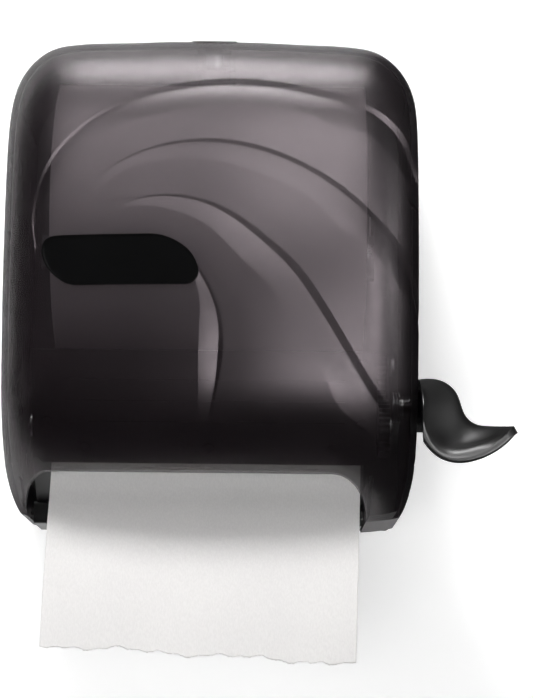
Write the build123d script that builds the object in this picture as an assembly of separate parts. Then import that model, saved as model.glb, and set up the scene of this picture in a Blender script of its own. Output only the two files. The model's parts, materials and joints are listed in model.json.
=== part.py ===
from build123d import *
import math
import os

os.makedirs("parts", exist_ok=True)

# Lever roll towel dispenser for a wall. Millimetres.
# X runs along the wall, Y into the wall and Z up. The origin is the middle of the four wall screws,
# on the back face, at half the height of the body.

# Towel roll
towel_width = 203.0
towel_thickness = 0.4
roll_radius = 93.5
roll_back = 100.5
roll_height = 38.0
roll_shift = -1.5
core_radius = 21.0
core_wall = 1.5
hub_length = 14.0
hub_tip_radius = 15.4
hub_flange_radius = 27.0
hub_flange = 2.0
arm_thickness = 2.5
arm_width = 24.0
arm_pin_radius = 2.0
arm_pin_back = 14.0
arm_spring_room = 10.0

# Body
side_room = 33.5
body_width = towel_width + 2 * side_room
body_height = 324.0
body_depth = 216.0
plate_thickness = 4.0
plate_inset = 2.0
seam = 0.5

# Cover
cover_wall = 4.4
side_radius = 38.0
top_corner_share = 1.3
foot_radius = 10.0
foot_corner_width = 14.0
foot_corner_height = 50.0
corner_bite = 0.4
front_crown = 12.0
top_crown = 1.5
crown_reach = 100.0
leg_front = 100.0
slot_room_left = 21.0
slot_room_right = 2.5
slot_height = 25.5
slot_radius_left = 20.0
slot_radius_right = 26.0
slot_edge_round = 2.0
lip_depth = 16.0
flange_thickness = 2.5
wave_depth = 3.0
badge_thickness = 1.4
badge_recess = 0.8
badge_rim = 1.3
badge_rim_height = 0.5

# Cover hinge
hinge_pin_radius = 3.0
hinge_back = 40.0
hinge_rise = 9.0
hinge_pin_reach = 4.0

# Lock on top of the cover
lock_back = 150.0
lock_barrel_radius = 5.5
lock_length = 16.0
lock_sleeve_radius = 7.1
lock_nut_height = 3.0
cam_length = 11.0
cam_thickness = 2.2
strike_depth = 8.0
bolt_width = 18.0
bolt_thickness = 2.5
bolt_travel = 7.0
bolt_drop = 12.0
escutcheon_length = 30.0
escutcheon_width = 13.0
escutcheon_rise = 0.6
escutcheon_sink = 0.9

# Wall screws
screw_spacing_x = 150.0
screw_spacing_z = 180.0
screw_hole_radius = 2.75

# Chassis; heights are above the foot of the body
chassis_room_left = 8.5
chassis_room_right = 2.5
chassis_thickness = 3.0
chassis_top_rise = 102.0
chassis_bottom_rise = 35.0
chassis_front_low = 152.0
chassis_front_top = 181.0
panel_thickness = 2.5
bar_front = 60.0
bar_height = 15.0
sheet_thickness = 2.0
tear_thickness = 1.2
tear_pitch = 4.0
tear_tooth = 2.5
tear_screw_places = [-80.0, 0.0, 80.0]

# Feed
feed_radius = 17.0
feed_core_radius = 13.0
feed_shaft_radius = 4.0
press_radius = 10.0
press_core_radius = 6.5
press_shaft_radius = 3.0
nip_rise = 57.0
nip_back = 122.0
nip_gap = 1.0
grip_count = 4
grip_length = 38.0
guide_rod_radius = 4.0
guide_rod_rise = 92.0
tail_fall = 192.0
tail_skew = 4.5
clutch_radius = 8.0
spring_room = 12.0

# Lever and its gears
lever_pivot_back = 60.0
lever_pivot_rise = 82.0
pinion_teeth = 30
sector_teeth = 110
gear_width = 6.0
gear_backlash = 0.45
lever_stroke = 34.0
lever_shaft_radius = 6.0
lever_gap = 1.5
lever_hub_radius = 17.0
lever_hub_width = 13.0
lever_rim_round = 1.8
case_post_places = [(28.0, -18.0), (30.0, 12.0), (-8.0, 28.0)]

# Small hardware and clearances
screw_radius = 2.0
screw_head_radius = 3.8
screw_head_height = 2.4
running_gap = 0.05
clear_gap = 0.3
bush_wall = 2.0
spring_wire = 1.2

half = body_width / 2
top = body_height / 2
low = -body_height / 2
front = -body_depth
rear = -(plate_thickness + seam)
plate_front = -plate_thickness
slot_left = towel_width / 2 + slot_room_left
slot_right = towel_width / 2 + slot_room_right
chassis_left = towel_width / 2 + chassis_room_left
chassis_right = towel_width / 2 + chassis_room_right
chassis_top = low + chassis_top_rise
chassis_bottom = low + chassis_bottom_rise
nip_height = low + nip_rise
guide_rod_height = low + guide_rod_rise
lever_pivot_height = low + lever_pivot_rise


# Basic shapes
def block(x0, x1, y0, y1, z0, z1):
    middle = Pos((x0 + x1) / 2, (y0 + y1) / 2, (z0 + z1) / 2)
    return middle * Box(abs(x1 - x0), abs(y1 - y0), abs(z1 - z0))


def rod_x(radius, x0, x1, y, z):
    return Pos((x0 + x1) / 2, y, z) * Rot(0, 90, 0) * Cylinder(radius, abs(x1 - x0))


def rod_y(radius, y0, y1, x, z):
    return Pos(x, (y0 + y1) / 2, z) * Rot(90, 0, 0) * Cylinder(radius, abs(y1 - y0))


def rod_z(radius, z0, z1, x, y):
    return Pos(x, y, (z0 + z1) / 2) * Cylinder(radius, abs(z1 - z0))


def tube_x(outer, inner, x0, x1, y, z):
    return rod_x(outer, x0, x1, y, z) - rod_x(inner, x0 - 1, x1 + 1, y, z)


def plate_x(outline, x0, x1):
    face = make_face(Polyline(*[(x0, y, z) for y, z in outline], close=True))
    return extrude(face, amount=x1 - x0, dir=(1, 0, 0))


def plate_y(outline, y0, y1):
    face = make_face(Polyline(*[(x, y0, z) for x, z in outline], close=True))
    return extrude(face, amount=y1 - y0, dir=(0, 1, 0))


def screw_y(x, y_seat, z, length):
    """A pan-head screw that goes into the back plate, head at the front."""
    head = rod_y(screw_head_radius, y_seat - screw_head_height, y_seat, x, z)
    drive = rod_y(screw_head_radius * 0.45, y_seat - screw_head_height - 1, y_seat - 1.2, x, z)
    return head + rod_y(screw_radius, y_seat, y_seat + length, x, z) - drive


def coil(radius, wire, turns, pitch):
    """A helical wire about Z from Z = 0, made of quarter-turn arcs; prints its gap to itself."""
    def point(quarter):
        angle = quarter * math.pi / 2
        return Vector(radius * math.cos(angle), radius * math.sin(angle), pitch * quarter / 4)
    arcs = [ThreePointArc(point(q), point(q + 0.5), point(q + 1)) for q in range(int(turns * 4))]
    path = Wire(arcs)
    section = Plane(origin=path @ 0, z_dir=path % 0) * Circle(wire / 2)
    points = [point(q / 4) for q in range(int(turns * 16) + 1)]
    gap = min((a - b).length for i, a in enumerate(points) for b in points[i + 10:]) - wire
    print(f"coil of {turns} turns, radius {radius}: gap to itself {gap:.2f}")
    return sweep(section, path=path)


# Outer skin of the cover: one side outline carried across the width, with a crown
# across the front and a rounding into the flat sides.
side_outline = Spline(
    (0, rear, top),
    (0, front + 106, top - 4),
    (0, front + 56, top - 14.5),
    (0, front + 18, top - 52),
    (0, front + 3, top - 112),
    (0, front, low + 162),
    (0, front + 5, low + 100),
    (0, front + 18, low + 54),
    (0, front + 48, low + slot_height),
    (0, -leg_front, low),
    tangents=((0, -1, -0.02), (0, 1, -0.33)),
)
flat_half = half - side_radius
girth_end = flat_half + side_radius * math.pi / 2
outline_steps = [i / 18 for i in range(19)]


def corner_share(t):
    """How much of the side rounding the outline takes: more at the top, less at the foot."""
    foot_share = foot_radius / side_radius
    if t < 0.45:
        return 1 + (top_corner_share - 1) * (1 - t / 0.45)
    if t > 0.72:
        return 1 + (foot_share - 1) * ((t - 0.72) / 0.28) ** 2
    return 1


def skin(u, t, inset=0.0):
    """A point of the skin at girth u and outline place t, and its outward normal."""
    side = math.copysign(1, u)
    turn = max(0.0, min(abs(u) - flat_half, girth_end - flat_half)) / side_radius
    radius = side_radius - inset
    x = u if turn == 0 else side * (flat_half + radius * math.sin(turn))
    tangent = side_outline % t
    inward = Vector(0, -tangent.Z, tangent.Y)
    fall = radius * (1 - math.cos(turn)) * corner_share(t)
    past_corner = max(0.0, abs(u) - girth_end)
    point = side_outline @ t + inward * (inset + fall) + Vector(0, past_corner, 0)
    spread = (x / crown_reach) ** 2
    forward = (rear - point.Y) / (rear - front)
    crowned_y = point.Y + front_crown * spread * max(0.0, forward)
    crowned_z = point.Z - top_crown * spread * max(0.0, point.Z / top)
    normal = inward * -math.cos(turn) + Vector(side * math.sin(turn), 0, 0)
    return Vector(x, crowned_y, crowned_z), normal


def skin_at(u, z):
    """The skin point at girth u and height z on the front."""
    upper, lower = 0.05, 0.95
    for _ in range(30):
        middle = (upper + lower) / 2
        if skin(u, middle)[0].Z > z:
            upper = middle
        else:
            lower = middle
    return skin(u, upper)


def foot_corners(inset):
    """What lies outside the body's rounded lower corners, seen from the front, moved in by inset."""
    inner = half - foot_corner_width + corner_bite
    knee = low + foot_corner_height
    outer = half + 20
    bottom = low - 20
    arc = EllipticalCenterArc((inner, knee), foot_corner_width - inset, foot_corner_height - inset, 270)
    corners = [arc @ 1, (outer, knee), (outer, bottom), (inner, bottom), arc @ 0]
    face = make_face(Wire([arc] + [Line(a, b) for a, b in zip(corners, corners[1:])]))
    face = Plane(origin=(0, front - 20, 0), x_dir=(1, 0, 0), z_dir=(0, -1, 0)) * face
    right = extrude(face, amount=body_depth + 60, dir=(0, 1, 0))
    return right + mirror(right, about=Plane.YZ)


def skin_solid(inset, back, floor):
    """The closed body of the skin, moved in by inset, from the plane Y = back down to Z = floor."""
    turns = [i * math.pi / 12 for i in range(1, 7)]
    girths = [0, flat_half / 3, flat_half * 2 / 3, flat_half]
    girths += [flat_half + side_radius * turn for turn in turns]
    wires = []
    for u in [-g for g in reversed(girths[1:])] + girths:
        points = [skin(u, t, inset)[0] for t in outline_steps]
        points[0] = Vector(points[0].X, back, points[0].Z)
        foot = Vector(points[-1].X, points[-1].Y, points[-1].Z)
        heel = Vector(foot.X, back, foot.Z)
        wires.append(Wire([Spline(*points), Line(foot, heel), Line(heel, points[0])]))
    solid = Solid.make_loft(wires)
    solid = solid & block(-half - 1, half + 1, front - 9, back, floor, top + 9)
    return solid - foot_corners(inset)


# Wave crests on the front: girth and height of each point, from the left end, the share of the wave
# depth at both ends and in the middle, the reach over which the floor rises again, and the run of the
# sloping step. Each crest steps in on its right-hand side.
waves = [
    ([(-111, -1), (-113, 33), (-104, 57), (-85, 80), (-60, 97), (-28, 108), (4, 113), (43, 112),
      (75, 106), (108, 95), (128, 80), (148, 60), (164, 42)], (0.35, 0.8, 0.95), 27, 3.2),
    ([(-86, 21), (-78, 36), (-63, 52), (-42, 63), (-18, 69), (4, 70), (38, 64), (60, 55), (81, 43),
      (103, 25), (125, 5), (148, -20), (164, -40)], (0.05, 0.7, 1.0), 26, 3.6),
    ([(-59, 24), (-47, 30), (-30, 33), (-13, 32), (4, 27), (22, 17), (39, 4), (54, -9), (70, -30),
      (88, -58), (107, -87), (128, -108), (148, -120), (164, -126)], (0.05, 0.95, 1.0), 30, 5.2),
    ([(-8, -11), (-2, -20), (5, -34), (9, -50), (9, -70), (7, -84), (4, -97), (0, -110), (-6, -118),
      (-11, -123)], (0.5, 0.9, 0.05), 20, 3.6),
]
wave_girth = 156.7
wave_height = 324.0
wave_sections = 16
crest_edge = 0.3
narrow_step = 0.6
rise_steps = [0, 0.12, 0.3, 0.55, 1.0]


def wave_cutter(crest, shares, reach, run):
    """A wedge that slopes in from the crest and rises back to the skin over the reach."""
    path = Spline(*[(u * girth_end / wave_girth, 0, z * body_height / wave_height) for u, z in crest])
    wires = []
    for i in range(wave_sections + 1):
        k = i / wave_sections
        place = path @ k
        along = path % k
        start, middle, end = shares
        share = start + (middle - start) * min(1, k * 2.2) if k < 0.5 else middle + (end - middle) * (2 * k - 1)
        share *= min(1, 0.05 + (1 - k) * 12)
        span = reach * (0.35 + 0.65 * min(1, k * 3, share * 1.4))
        step = max(narrow_step, run * share)
        base, normal = skin_at(place.X, place.Z)
        aways = [step + (span - step) * f for f in rise_steps]
        points = [skin_at(place.X + along.Z * away, place.Z - along.X * away)[0] for away in aways]
        aside = points[-1] - base
        aside = (aside - normal * aside.dot(normal)).normalized()
        floor = []
        for f, point in zip(rise_steps, points):
            rise = (point - base).dot(normal) - wave_depth * share * (1 - f) ** 1.7 + 0.5 * f
            floor.append(base + aside * (point - base).dot(aside) + normal * rise)
        outside = normal * 7
        far = base + aside * (floor[-1] - base).dot(aside) + outside
        near = base + outside
        edge = base - normal * min(crest_edge, wave_depth * share / 2)
        corners = [floor[-1], far, near, edge, floor[0]]
        wires.append(Wire([Spline(*floor)] + [Line(a, b) for a, b in zip(corners, corners[1:])]))
    return Solid.make_loft(wires)


# Cover
def slot_outline(grow):
    """The towel opening between the legs, seen from the front, grown by a margin."""
    left = -slot_left - grow
    right = slot_right + grow
    lip = low + slot_height + grow
    bottom = low - 20
    round_left = slot_radius_left + grow
    round_right = slot_radius_right + grow
    diagonal = 1 - math.sqrt(0.5)
    edges = [
        Line((left, 0, bottom), (left, 0, lip - round_left)),
        ThreePointArc((left, 0, lip - round_left),
                      (left + round_left * diagonal, 0, lip - round_left * diagonal),
                      (left + round_left, 0, lip)),
        Line((left + round_left, 0, lip), (right - round_right, 0, lip)),
        ThreePointArc((right - round_right, 0, lip),
                      (right - round_right * diagonal, 0, lip - round_right * diagonal),
                      (right, 0, lip - round_right)),
        Line((right, 0, lip - round_right), (right, 0, bottom)),
        Line((right, 0, bottom), (left, 0, bottom)),
    ]
    return make_face(Wire(edges))


def slot_prism(grow, y0, y1):
    return extrude(Pos(0, y0, 0) * slot_outline(grow), amount=y1 - y0, dir=(0, 1, 0))


def slot_rim(shell, outer):
    """The edges of the towel opening on the outer skin, from one leg round to the other."""
    outline = slot_outline(0).wire()
    skin_faces = outer.shells()[0]
    edges = []
    for edge in shell.edges():
        point = edge @ 0.5
        on_outline = outline.distance_to(Vector(point.X, 0, point.Z)) < 0.01
        if on_outline and point.Y < -0.9 * leg_front and skin_faces.distance_to(point) < 0.01:
            edges.append(edge)
    return edges


hinge_y = -hinge_back
hinge_z = low + hinge_rise
pivot_y = -lever_pivot_back
pivot_z = lever_pivot_height
case_posts = [(pivot_y + y, pivot_z + z) for y, z in case_post_places]


def lever_slot():
    """The path of the lever shaft in the cover's right side as the cover swings open."""
    reach = math.hypot(pivot_y - hinge_y, pivot_z - hinge_z)
    start = math.degrees(math.atan2(pivot_z - hinge_z, pivot_y - hinge_y))
    width = lever_shaft_radius + 1.5
    shape = rod_x(width, half - 20, half + 5, pivot_y, pivot_z)
    ring = tube_x(reach + width, reach - width, half - 20, half + 5, hinge_y, hinge_z)
    far = 3 * reach
    wedge = [(hinge_y, hinge_z)]
    for i in range(5):
        angle = math.radians(start - i * start / 4)
        wedge.append((hinge_y + far * math.cos(angle), hinge_z + far * math.sin(angle)))
    return shape + (ring & plate_x(wedge, half - 20, half + 5))


def badge_prism(grow):
    """The leaf-shaped badge seen from the front, as a prism along Y."""
    right_tip = (-6.5 + grow, -16)
    outline = [
        Spline((-106.5 - grow, -3), (-104 - grow, 4.5 + grow), (-98, 7 + grow)),
        Line((-98, 7 + grow), (-38, 7 + grow)),
        Spline((-38, 7 + grow), (-20, 2 + grow), right_tip, tangents=((1, 0), (0.2, -1))),
        Spline(right_tip, (-9 + grow, -22.5), (-15, -24.8 - grow), tangents=((0.1, -1), (-1, 0))),
        Line((-15, -24.8 - grow), (-82, -24.8 - grow)),
        Spline((-82, -24.8 - grow), (-98 - grow, -18), (-106.5 - grow, -3), tangents=((-1, 0), (-0.2, 1))),
    ]
    face = Plane(origin=(0, front - 8, 0), x_dir=(1, 0, 0), z_dir=(0, -1, 0)) * make_face(Wire(outline))
    return extrude(face, amount=40, dir=(0, 1, 0))


def lock_plane():
    """The lock's seat on the middle of the cover's top: origin on the skin, Z outward."""
    upper, lower = 0.0, 0.5
    for _ in range(40):
        middle = (upper + lower) / 2
        if (side_outline @ middle).Y > -lock_back:
            upper = middle
        else:
            lower = middle
    point, normal = skin(0, upper)
    return Plane(origin=point, x_dir=(1, 0, 0), z_dir=normal)


lock_seat = lock_plane()


def oblong(length, width, z0, z1):
    face = SlotOverall(length, width)
    return extrude(Pos(0, 0, z0) * face, amount=z1 - z0)


hollow = skin_solid(cover_wall, rear + 20, low + cover_wall)


def make_cover():
    outer = skin_solid(0, rear, low)
    shell = outer
    shell = shell - hollow
    flange_back = front + 48 + lip_depth
    flange = slot_prism(flange_thickness, front - 9, flange_back)
    flange += block(-slot_left - flange_thickness, -slot_left, front, rear, low, low + slot_height)
    flange += block(slot_right, slot_right + flange_thickness, front, rear, low, low + slot_height)
    shell = shell + (flange & outer) - slot_prism(0, front - 9, rear + 20)
    shell = fillet(slot_rim(shell, outer), slot_edge_round)
    for wave in waves:
        shell = shell - wave_cutter(*wave)
    heel = block(-half - 1, half + 1, hinge_y, 1, low - 1, hinge_z)
    shell = shell - (heel - rod_x(rear - hinge_y, -half - 1, half + 1, hinge_y, hinge_z))
    pin_hole = hinge_pin_radius + running_gap
    hole_reach = hinge_pin_reach + clear_gap
    shell = shell - rod_x(pin_hole, -slot_left - hole_reach, slot_right + hole_reach, hinge_y, hinge_z)
    shell = shell - lever_slot()
    shell = shell - (badge_prism(0.15) - skin_solid(badge_recess, rear, low))
    seat = oblong(escutcheon_length + 0.3, escutcheon_width + 0.3, -escutcheon_sink, 9)
    bore = Cylinder(lock_sleeve_radius + running_gap, 40)
    return shell - lock_seat * seat - lock_seat * bore


def make_badge():
    blank = badge_prism(0) & skin_solid(-badge_thickness, rear, low)
    face = badge_prism(-badge_rim) - skin_solid(badge_rim_height - badge_thickness, rear, low)
    return blank - face - skin_solid(badge_recess - running_gap, rear, low)


# Lock, in the seat's own frame: Z out of the cover
def make_escutcheon():
    plate = oblong(escutcheon_length, escutcheon_width, -escutcheon_sink, escutcheon_rise)
    plate = fillet(plate.faces().sort_by(Axis.Z)[-1].edges(), 0.6)
    depth = cover_wall + lock_nut_height + 1
    sleeve = Pos(0, 0, -depth / 2) * Cylinder(lock_sleeve_radius, depth)
    return lock_seat * (plate + sleeve - Cylinder(lock_barrel_radius + running_gap, 60))


def make_lock_nut():
    ring = Cylinder(lock_sleeve_radius + 4, lock_nut_height)
    ring = Pos(0, 0, -cover_wall - 3 * clear_gap - lock_nut_height / 2) * ring
    flats = block(-40, 40, -lock_sleeve_radius - 2.5, lock_sleeve_radius + 2.5, -40, 40)
    return lock_seat * ((ring & flats) - Cylinder(lock_sleeve_radius + running_gap, 60))


def make_lock_barrel():
    rise = escutcheon_rise - 0.3
    barrel = Pos(0, 0, (rise - lock_length) / 2) * Cylinder(lock_barrel_radius, lock_length + rise)
    return lock_seat * (barrel - block(-3, 3, -0.6, 0.6, rise - 5, rise + 1))


def make_lock_cam():
    plate = block(0, cam_length, -3.5, 3.5, -lock_length - cam_thickness, -lock_length)
    hub = Pos(0, 0, -lock_length - cam_thickness / 2) * Cylinder(lock_barrel_radius, cam_thickness)
    return lock_seat * (plate + hub)


bolt_top = top - bolt_drop
bolt_low = bolt_top - bolt_thickness
bolt_tip = plate_front - strike_depth - 1
bolt_step = -(lock_back - 30)
tongue_top = bolt_top - 6


def make_latch_bolt():
    side = bolt_width / 2
    strip = block(-side, side, bolt_step, bolt_tip, bolt_low, bolt_top)
    web = block(-side, side, bolt_step - bolt_thickness, bolt_step, tongue_top - bolt_thickness, bolt_top)
    tongue_end = bolt_step - 20
    tongue = block(-side, side, tongue_end, bolt_step, tongue_top - bolt_thickness, tongue_top)
    pin = rod_z(1.5, tongue_top - bolt_thickness - 5, tongue_top, 0, tongue_end + 4)
    return strip + web + tongue + pin


def make_latch_guides():
    side = bolt_width / 2
    guides = []
    for y in (bolt_step + bolt_travel + 8, bolt_step + 50):
        saddle = block(-side - 4, side + 4, y - 4, y + 4, bolt_low - 2, top) & hollow
        gap = clear_gap
        guides.append(saddle - block(-side - gap, side + gap, y - 9, y + 9, bolt_low - gap, bolt_top + gap))
    return Compound(children=guides)


# Wall base
roll_left = roll_shift - towel_width / 2
roll_right = roll_shift + towel_width / 2
roll_y = -roll_back
arm_low = roll_height - arm_width / 2
arm_high = roll_height + arm_width / 2
arm_right_x = roll_right + clear_gap + hub_flange
arm_left_x = roll_left - clear_gap - hub_flange
arm_pin_x = arm_right_x + arm_thickness + 3
arm_pin_y = -arm_pin_back
bar_left = -slot_left + 1.5
bar_right = slot_right - 1.5
bar_top = low + bar_height
left_outer = -chassis_left - chassis_thickness
right_outer = chassis_right + chassis_thickness
tab_left = left_outer - 15
tab_right = right_outer + 15
tab_screws = [(x, z) for x in (tab_left + 6, tab_right - 6) for z in (chassis_top - 10, chassis_top - 34)]
foot_left = arm_left_x - arm_thickness - 18
foot_screws = [(foot_left + 7, roll_height - 7), (foot_left + 7, roll_height + 7)]
base_screw_places = tab_screws + foot_screws


def make_back_plate():
    side = half - plate_inset
    plate = block(-side, side, plate_front, 0, low + plate_inset, top - plate_inset - top_crown)
    uprights = plate.edges().filter_by(Axis.Y).sort_by(Axis.Z)
    plate = fillet(uprights[-2:], side_radius * top_corner_share) - foot_corners(plate_inset)
    bar = block(bar_left, bar_right, -bar_front, plate_front, low, bar_top)
    bar = fillet(bar.edges().filter_by(Axis.X).sort_by(Axis.Y)[:2], 2)
    end_wall = 16
    core = block(bar_left + end_wall, bar_right - end_wall, -bar_front + 3, 1, low + 3, bar_top - 3)
    body = plate + bar - core
    for x in (bar_left, bar_right):
        body = body - rod_x(hinge_pin_radius + running_gap, x - end_wall, x + end_wall, hinge_y, hinge_z)
    for z0, z1 in ((arm_low - 7, arm_low - clear_gap), (arm_high + clear_gap, arm_high + 7)):
        lug = block(arm_pin_x - 5, arm_pin_x + 5, arm_pin_y, plate_front, z0, z1)
        lug = lug + rod_z(5, z0, z1, arm_pin_x, arm_pin_y)
        body = body + lug - rod_z(arm_pin_radius + running_gap, z0 - 1, z1 + 1, arm_pin_x, arm_pin_y)
    for x in (-screw_spacing_x / 2, screw_spacing_x / 2):
        for z in (-screw_spacing_z / 2, screw_spacing_z / 2):
            body = body - rod_y(screw_hole_radius, plate_front - 9, 9, x, z)
    for x, z in base_screw_places:
        body = body - rod_y(screw_radius + running_gap, plate_front - 1, 1, x, z)
    return body


def make_latch_strike():
    side = bolt_width / 2
    body = block(-side - 7, side + 7, plate_front - strike_depth, plate_front, bolt_low - 5, bolt_top + 4.5)
    gap = 2 * clear_gap
    return body - block(-side - gap, side + gap, -30, plate_front - 1, bolt_low - gap, bolt_top + gap)


def make_hinge_pins():
    reach = 14
    left = rod_x(hinge_pin_radius, -slot_left - hinge_pin_reach, bar_left + reach, hinge_y, hinge_z)
    right = rod_x(hinge_pin_radius, bar_right - reach, slot_right + hinge_pin_reach, hinge_y, hinge_z)
    return Compound(children=[left, right])


def make_base_screws():
    seat = plate_front - chassis_thickness
    return Compound(children=[screw_y(x, seat, z, chassis_thickness + 3) for x, z in base_screw_places])


# Chassis: two side plates, the dark front panel, tear bar and rods between them
front_low = Vector(0, -chassis_front_low, chassis_bottom)
front_top = Vector(0, -chassis_front_top, chassis_top)
panel_up = (front_top - front_low).normalized()
panel_out = Vector(0, -panel_up.Z, panel_up.Y)
panel_plane = Plane(origin=front_low, x_dir=(1, 0, 0), z_dir=panel_out)
panel_length = (front_top - front_low).length
paper_y = -nip_back
feed_y = paper_y - nip_gap / 2 - feed_radius
press_y = paper_y + nip_gap / 2 + press_radius
rod_y_place = paper_y + towel_thickness / 2 + clear_gap + guide_rod_radius
tie_y = -28.0
tie_z = chassis_top - 28
feed_bush_radius = feed_shaft_radius + bush_wall + 0.5
lever_bush_radius = lever_shaft_radius + bush_wall
block_half = press_shaft_radius + 3
press_slot_end = press_y + block_half + spring_room
panel_screw_places = [(x, s) for x in (-chassis_left + 6, chassis_right - 6) for s in (24, panel_length - 10)]


def in_panel(x0, x1, s0, s1, h0, h1):
    return panel_plane * block(x0, x1, s0, s1, h0, h1)


def make_side_plate(x0, x1, inner, tab_end, with_lever):
    outline = [(plate_front, chassis_top - 48), (-95, chassis_top - 56), (-chassis_front_low, chassis_bottom),
               (-chassis_front_top, chassis_top), (plate_front, chassis_top)]
    plate = plate_x(outline, x0, x1)
    outer = x0 if tab_end < x0 else x1
    plate = plate + block(outer, tab_end, plate_front - chassis_thickness, plate_front,
                          chassis_top - 44, chassis_top)
    flange_end = inner + (12 if tab_end < x0 else -12)
    plate = plate + in_panel(inner, flange_end, 17, panel_length - 3, -chassis_thickness, 0)
    holes = rod_x(feed_bush_radius + running_gap, x0 - 5, x1 + 5, feed_y, nip_height)
    holes += rod_x(guide_rod_radius + running_gap, x0 - 5, x1 + 5, rod_y_place, guide_rod_height)
    holes += rod_x(guide_rod_radius + running_gap, x0 - 5, x1 + 5, tie_y, tie_z)
    slack = block_half + 0.1
    holes += block(x0 - 5, x1 + 5, press_y - slack, press_slot_end, nip_height - slack, nip_height + slack)
    if with_lever:
        holes += rod_x(lever_bush_radius + running_gap, x0 - 5, x1 + 5, pivot_y, pivot_z)
        for y, z in case_posts:
            holes += rod_x(screw_radius + running_gap, x0 - 5, x1 + 5, y, z)
    for x, z in tab_screws:
        holes += rod_y(screw_radius + running_gap, plate_front - 9, plate_front + 1, x, z)
    for x, s in panel_screw_places:
        holes += panel_plane * (Pos(x, s, 0) * Cylinder(screw_radius + running_gap, 20))
    return plate - holes


def make_front_panel():
    foot = -3
    head = panel_length - 1
    outline = [(left_outer + 6, foot), (right_outer - 6, foot), (right_outer, foot + 6), (right_outer, head),
               (left_outer, head), (left_outer, foot + 6)]
    panel = panel_plane * extrude(make_face(Polyline(*outline, close=True)), amount=panel_thickness)
    for s in (24, 38, 52):
        panel = panel + in_panel(left_outer + 20, right_outer - 20, s - 1, s + 1, panel_thickness, panel_thickness + 1.5)
    for x, s in panel_screw_places:
        panel = panel - panel_plane * (Pos(x, s, 0) * Cylinder(screw_radius + running_gap, 30))
    for x in tear_screw_places:
        panel = panel - panel_plane * (Pos(x, 7, 0) * Cylinder(screw_radius + running_gap, 30))
    return panel


def panel_screw(x, s, length):
    head = Pos(x, s, panel_thickness + screw_head_height / 2) * Cylinder(screw_head_radius, screw_head_height)
    shank = Pos(x, s, panel_thickness - length / 2) * Cylinder(screw_radius, length)
    drive = Pos(x, s, panel_thickness + screw_head_height) * Cylinder(screw_head_radius * 0.45, 2)
    return panel_plane * (head + shank - drive)


def make_panel_screws():
    length = panel_thickness + chassis_thickness
    return Compound(children=[panel_screw(x, s, length) for x, s in panel_screw_places])


def make_tear_screws():
    length = panel_thickness + tear_thickness
    return Compound(children=[panel_screw(x, 7, length) for x in tear_screw_places])


def make_tear_bar():
    left = roll_left - 2
    right = roll_right + 2
    teeth = int((right - left) / tear_pitch)
    step = (right - left) / teeth
    edge = [(left, 14)]
    for i in range(teeth):
        edge.append((left + i * step, -2))
        edge.append((left + (i + 0.5) * step, -2 - tear_tooth))
    edge += [(right, -2), (right, 14)]
    face = make_face(Polyline(*edge, close=True))
    bar = panel_plane * extrude(face, amount=-tear_thickness)
    for x in tear_screw_places:
        bar = bar - panel_plane * (Pos(x, 7, 0) * Cylinder(screw_radius + running_gap, 30))
    return bar


def make_rear_guide():
    foot_back = -bar_front + 16
    outline = [(foot_back, bar_top), (-bar_front, bar_top), (-100, chassis_top - 61.5),
               (-100, chassis_top - 59), (-bar_front + 1, bar_top + sheet_thickness),
               (foot_back, bar_top + sheet_thickness)]
    return plate_x(outline, bar_left + 2, bar_right)


def cross_rod(y, z):
    reach = 2
    return rod_x(guide_rod_radius, left_outer - reach, right_outer + reach, y, z)


# Feed and pressure rollers
core_left = -chassis_left + 2
core_right = chassis_right - 2
pinion_x0 = right_outer + 2.5
pinion_x1 = pinion_x0 + gear_width + 1


def ring_places(length):
    room = (core_right - core_left) / grip_count
    return [core_left + room * (i + 0.5) - length / 2 for i in range(grip_count)]


def make_feed_roller():
    shaft = rod_x(feed_shaft_radius, left_outer - 4, pinion_x1 + 3, feed_y, nip_height)
    return shaft + rod_x(feed_core_radius, core_left, core_right, feed_y, nip_height)


def make_rings(outer, inner, length, y):
    rings = [tube_x(outer, inner, x, x + length, y, nip_height) for x in ring_places(length)]
    return Compound(children=rings)


def make_feed_bushes():
    bushes = []
    for x0, x1, flange0, flange1 in (
        (left_outer, -chassis_left + 1.5, left_outer - 1.5, left_outer),
        (chassis_right - 1.5, right_outer, right_outer, right_outer + 1.5),
    ):
        body = rod_x(feed_bush_radius, x0, x1, feed_y, nip_height)
        body = body + rod_x(feed_bush_radius + 2, flange0, flange1, feed_y, nip_height)
        bushes.append(body - rod_x(feed_shaft_radius + running_gap, x0 - 9, x1 + 9, feed_y, nip_height))
    return Compound(children=bushes)


def make_feed_clips():
    clips = []
    for x in (left_outer - 3.2, pinion_x1 + 0.6):
        clips.append(tube_x(feed_shaft_radius + 3, feed_shaft_radius + 0.02, x, x + 1, feed_y, nip_height))
    return Compound(children=clips)


def make_press_roller():
    shaft = rod_x(press_shaft_radius, left_outer - 2, right_outer + 2, press_y, nip_height)
    return shaft + rod_x(press_core_radius, core_left, core_right, press_y, nip_height)


def make_press_blocks():
    blocks = []
    for x0, x1 in ((left_outer, -chassis_left), (chassis_right, right_outer)):
        body = block(x0, x1, press_y - block_half, press_y + block_half,
                     nip_height - block_half, nip_height + block_half)
        hole = rod_x(press_shaft_radius + running_gap, x0 - 9, x1 + 9, press_y, nip_height)
        blocks.append(body - hole)
    return Compound(children=blocks)


def make_press_springs():
    wire = 0.9
    pitch = (spring_room - wire - 0.4) / 5
    springs = []
    for x in ((left_outer - chassis_left) / 2, (right_outer + chassis_right) / 2):
        place = Pos(x, press_y + block_half + 0.2 + wire / 2, nip_height) * Rot(-90, 0, 0)
        springs.append(place * coil(3.0, wire, 5, pitch))
    return Compound(children=springs)


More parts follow.
